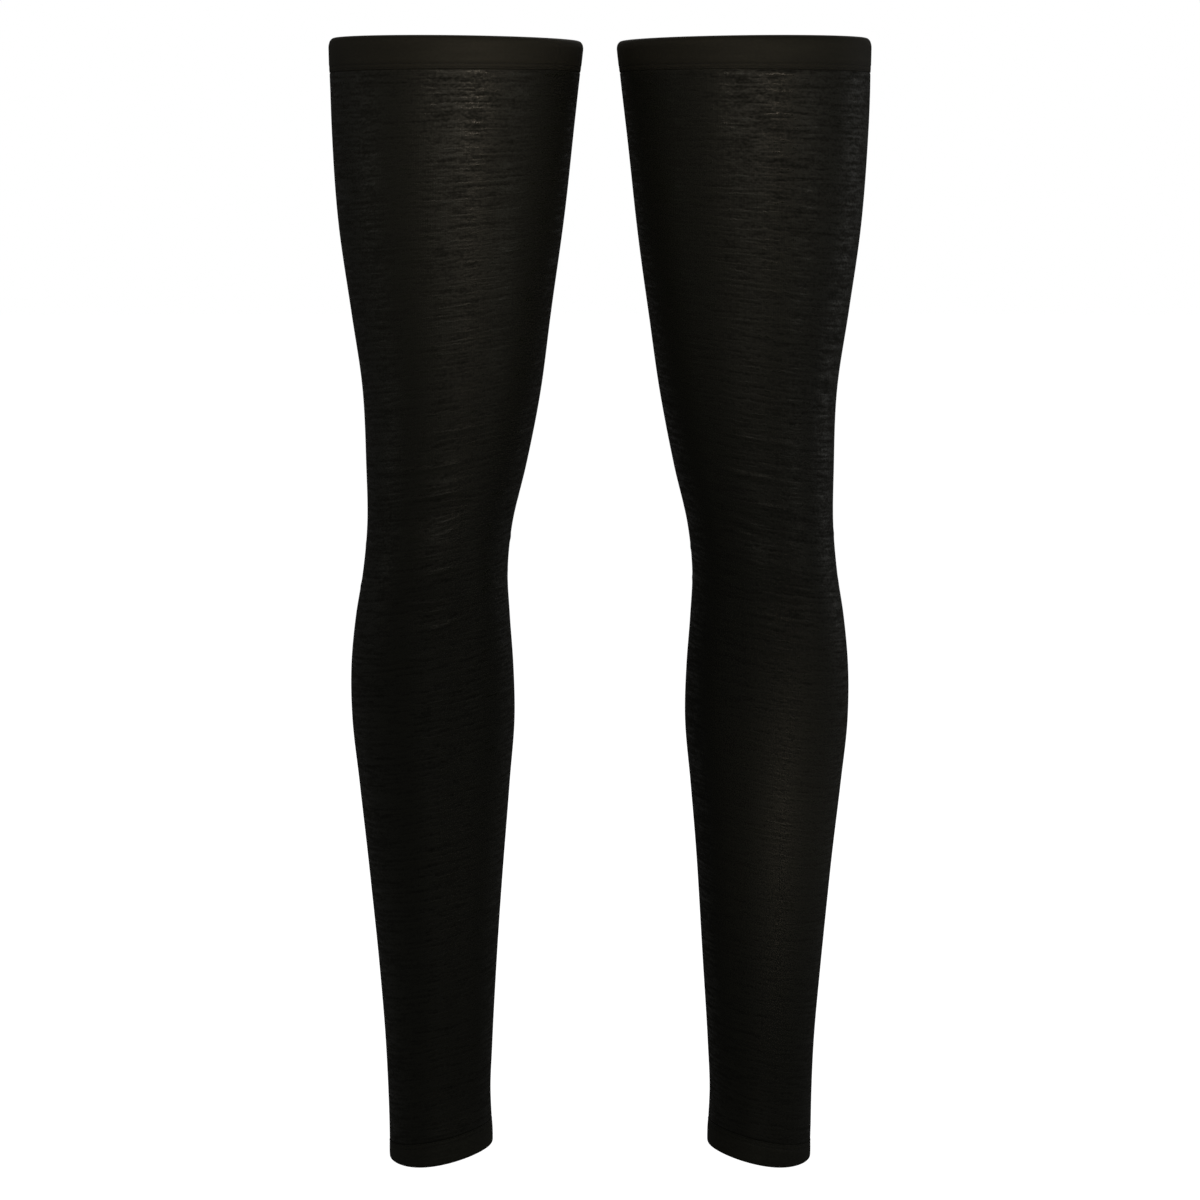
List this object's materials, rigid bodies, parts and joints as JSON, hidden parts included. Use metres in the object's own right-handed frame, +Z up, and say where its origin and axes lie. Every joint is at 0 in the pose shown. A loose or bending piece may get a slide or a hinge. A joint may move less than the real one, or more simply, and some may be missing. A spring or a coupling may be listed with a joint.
{
  "type": "pair of leg warmers",
  "caption": "Long footless leg warmers of fine dark wool jersey, filled out as worn but empty, with a folded elastic band at the thigh and a turned hem at the ankle.",
  "frame": {"origin": "midway between the two thigh bands, at the middle of their depth, on the side line through the bands' centres", "axes": "+Z up towards the thigh, -Y the front, +X the wearer's left leg"},
  "size_m": [0.3534, 0.1733, 0.7569],
  "materials": {
    "jersey": "matt fine wool single jersey with faint streaks in its yarn, near black",
    "band": "the same jersey folded double over elastic, smoother and a little lighter"
  },
  "bodies": {
    "root": {"left_leg_panel": "jersey", "left_thigh_band": "band", "left_ankle_hem": "jersey", "right_leg_panel": "jersey", "right_thigh_band": "band", "right_ankle_hem": "jersey"}
  },
  "joints": []
}
